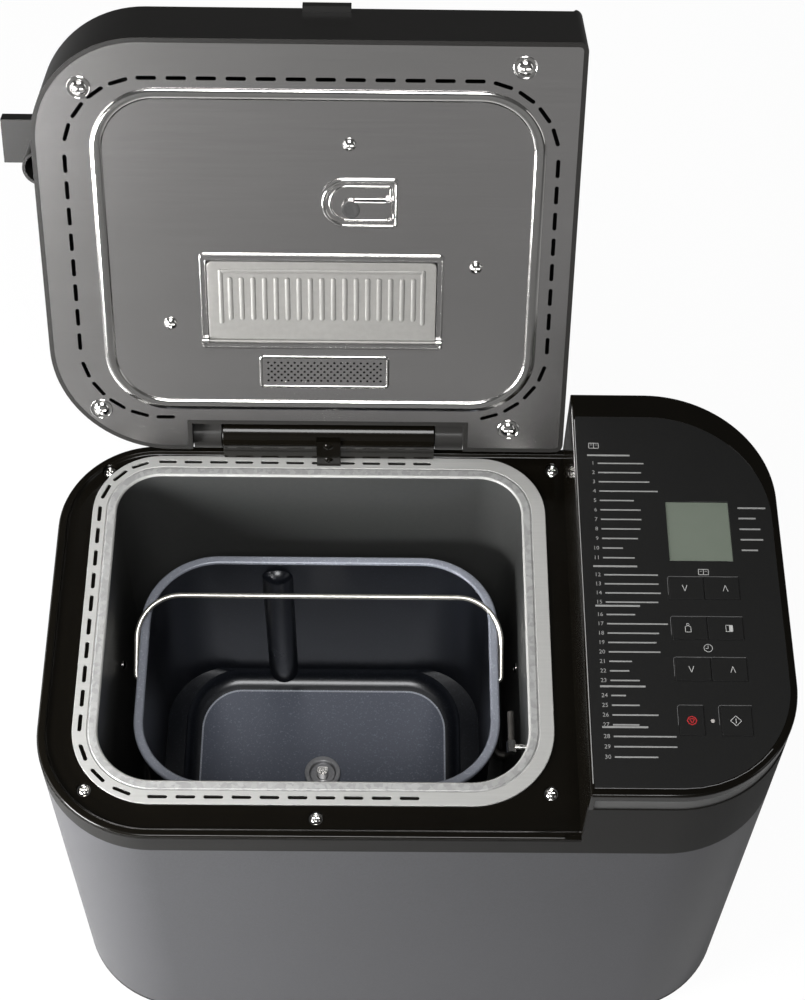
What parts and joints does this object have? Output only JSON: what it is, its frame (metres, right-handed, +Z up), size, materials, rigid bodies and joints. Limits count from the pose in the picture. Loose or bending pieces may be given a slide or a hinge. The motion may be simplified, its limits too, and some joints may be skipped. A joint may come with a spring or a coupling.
{
  "type": "bread machine",
  "caption": "Bread machine with hinged lid, fruit dispenser, lift-out pan with bail handle, belt drive and a side console of press keys.",
  "frame": {"origin": "on the floor under the body's centre", "axes": "+X to the right, +Y to the back, +Z up; the oven is at the left and the console at the right"},
  "size_m": [0.432, 0.3757, 0.5268],
  "materials": {
    "painted_steel": "metallic graphite paint, satin",
    "charcoal_plastic": "fine-grained charcoal",
    "gloss_black": "gloss black",
    "trim_grey": "satin dark grey",
    "lid_plastic": "satin near-black",
    "rubber": "matt rubber",
    "galvanised": "light spangled sheet",
    "oven_enamel": "dark grey satin enamel",
    "polished_steel": "polished",
    "lid_steel": "bright rolled steel",
    "flap_aluminium": "satin aluminium",
    "pan_coating": "dark non-stick coating",
    "cast_metal": "cast",
    "heater_steel": "heat-darkened",
    "ceramic": "white ceramic",
    "dark_plastic": "moulded",
    "pulley_plastic": "moulded nylon",
    "bronze": "sintered bronze",
    "motor_steel": "plated steel",
    "circuit_board": "green board",
    "panel_black": "matt black film",
    "display_glass": "grey-green display",
    "light_red": "lens"
  },
  "bodies": {
    "root": {"feet": "rubber", "base_plate": "charcoal_plastic", "body_wrap": "painted_steel", "top_frame": "charcoal_plastic", "deck": "gloss_black", "deck_screws": "polished_steel", "oven_ring": "galvanised", "oven_liner": "oven_enamel", "liner_screws": "polished_steel", "heater_tube": "heater_steel", "heater_terminals": "ceramic", "temperature_sensor": "polished_steel", "pan_seat": "cast_metal", "drive_bearing": "bronze", "drive_belt": "rubber", "motor": "motor_steel", "chassis_plate": "motor_steel", "power_board": "circuit_board", "power_inlet": "charcoal_plastic", "console_shell": "gloss_black", "console_trim": "trim_grey", "panel_face": "panel_black", "display_window": "display_glass", "display_module": "display_glass", "control_board": "circuit_board", "start_light": "light_red", "hinge_housing": "gloss_black", "hinge_bracket": "polished_steel", "hinge_pin": "polished_steel"},
    "pan": {"bread_pan": "pan_coating", "pan_foot": "cast_metal", "pan_ears": "pan_coating", "kneading_mount": "cast_metal"},
    "bail": {"bail_handle": "polished_steel"},
    "kneader": {"kneading_shaft": "polished_steel", "pan_coupling": "dark_plastic"},
    "drive": {"drive_coupling": "dark_plastic", "drive_shaft": "polished_steel", "large_pulley": "pulley_plastic"},
    "motor_rotor": {"motor_pulley": "pulley_plastic", "motor_shaft": "polished_steel"},
    "lid": {"lid_shell": "lid_plastic", "lid_plate": "lid_steel", "plate_screws": "polished_steel", "dispenser_box": "lid_plastic", "dispenser_frame": "lid_steel", "yeast_hopper": "lid_plastic", "steam_vent": "lid_steel"},
    "flap": {"dispenser_flap": "flap_aluminium"},
    "valve": {"yeast_valve": "lid_steel"},
    "dispenser_cover": {"dispenser_lid": "lid_plastic"},
    "programme_down_key": {"programme_down_key": "panel_black"},
    "programme_up_key": {"programme_up_key": "panel_black"},
    "size_key": {"size_key": "panel_black"},
    "crust_key": {"crust_key": "panel_black"},
    "timer_down_key": {"timer_down_key": "panel_black"},
    "timer_up_key": {"timer_up_key": "panel_black"},
    "stop_key": {"stop_key": "panel_black"},
    "start_key": {"start_key": "panel_black"}
  },
  "joints": [
    {"name": "lid_hinge", "type": "hinge", "parent": "root", "child": "lid", "pos_m": [0, 0.124, 0.29], "axis": [-1, 0, 0], "range_deg": [-113, 0]},
    {"name": "dispenser_lid_hinge", "type": "hinge", "parent": "lid", "child": "dispenser_cover", "pos_m": [0.0395, 0.20145, 0.39183], "axis": [0, -0.3907, -0.9205], "range_deg": [0, 85]},
    {"name": "flap_hinge", "type": "hinge", "parent": "lid", "child": "flap", "pos_m": [-0.05025, 0.13497, 0.36345], "axis": [1, 0, 0], "range_deg": [0, 70]},
    {"name": "yeast_valve_hinge", "type": "hinge", "parent": "lid", "child": "valve", "pos_m": [-0.0132, 0.1675, 0.43905], "axis": [0, 0.3907, 0.9205], "range_deg": [0, 60]},
    {"name": "pan_lift", "type": "slide", "parent": "root", "child": "pan", "axis": [0, 0, 1], "range_m": [0, 0.24]},
    {"name": "bail_hinge", "type": "hinge", "parent": "pan", "child": "bail", "pos_m": [-0.0525, 0.007, 0.2], "axis": [1, 0, 0], "range_deg": [0, 120]},
    {"name": "drive_spin", "type": "hinge", "parent": "root", "child": "drive", "pos_m": [-0.0525, 0.007, 0.03], "axis": [0, 0, 1], "continuous": true},
    {"name": "kneader_spin", "type": "hinge", "parent": "pan", "child": "kneader", "pos_m": [-0.0525, 0.007, 0.06], "axis": [0, 0, 1], "continuous": true},
    {"name": "motor_spin", "type": "hinge", "parent": "root", "child": "motor_rotor", "pos_m": [0.135, 0.007, 0.05], "axis": [0, 0, 1], "continuous": true},
    {"name": "programme_down_key_press", "type": "slide", "parent": "root", "child": "programme_down_key", "axis": [0, 0, -1], "range_m": [0, 0.0005], "stiffness_N_per_m": 400},
    {"name": "programme_up_key_press", "type": "slide", "parent": "root", "child": "programme_up_key", "axis": [0, 0, -1], "range_m": [0, 0.0005], "stiffness_N_per_m": 400},
    {"name": "size_key_press", "type": "slide", "parent": "root", "child": "size_key", "axis": [0, 0, -1], "range_m": [0, 0.0005], "stiffness_N_per_m": 400},
    {"name": "crust_key_press", "type": "slide", "parent": "root", "child": "crust_key", "axis": [0, 0, -1], "range_m": [0, 0.0005], "stiffness_N_per_m": 400},
    {"name": "timer_down_key_press", "type": "slide", "parent": "root", "child": "timer_down_key", "axis": [0, 0, -1], "range_m": [0, 0.0005], "stiffness_N_per_m": 400},
    {"name": "timer_up_key_press", "type": "slide", "parent": "root", "child": "timer_up_key", "axis": [0, 0, -1], "range_m": [0, 0.0005], "stiffness_N_per_m": 400},
    {"name": "stop_key_press", "type": "slide", "parent": "root", "child": "stop_key", "axis": [0, 0, -1], "range_m": [0, 0.0005], "stiffness_N_per_m": 400},
    {"name": "start_key_press", "type": "slide", "parent": "root", "child": "start_key", "axis": [0, 0, -1], "range_m": [0, 0.0005], "stiffness_N_per_m": 400}
  ],
  "couplings": [
    {"joint": "kneader_spin", "follows": "drive_spin", "ratio": 1},
    {"joint": "motor_spin", "follows": "drive_spin", "ratio": 4.8889}
  ]
}
